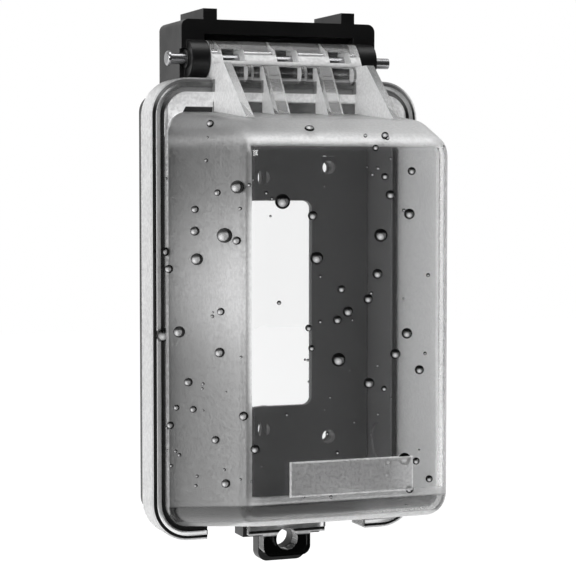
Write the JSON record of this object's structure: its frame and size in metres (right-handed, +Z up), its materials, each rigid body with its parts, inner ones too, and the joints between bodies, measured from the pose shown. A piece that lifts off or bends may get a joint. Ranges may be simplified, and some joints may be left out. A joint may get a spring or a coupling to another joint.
{
  "type": "weatherproof in-use outlet cover",
  "caption": "Weatherproof in-use cover for one electrical outlet: a black tray on the wall with a clear domed lid on a top hinge, cord exits and a padlock hasp below.",
  "frame": {"origin": "middle of the two box screws in the plane of the wall, at the back face of the gasket", "axes": "+X to the right as the cover is seen from the front, +Y into the wall, +Z up the wall; the lid faces -Y"},
  "size_m": [0.0902, 0.0835, 0.1767],
  "materials": {
    "black_plastic": "moulded black plastic with a satin skin",
    "clear_plastic": "clear moulded plastic, polished",
    "foam": "closed-cell black foam",
    "seal_rubber": "black rubber strip",
    "pin_steel": "plain steel rod"
  },
  "bodies": {
    "base": {"base": "black_plastic", "wall_gasket": "foam", "device_insert": "black_plastic", "hinge_pin": "pin_steel"},
    "lid": {"lid": "clear_plastic", "lid_seal": "seal_rubber"}
  },
  "joints": [
    {"name": "lid_hinge", "type": "hinge", "parent": "base", "child": "lid", "pos_m": [0, -0.0235, 0.0787], "axis": [-1, 0, 0], "range_deg": [0, 95]}
  ]
}
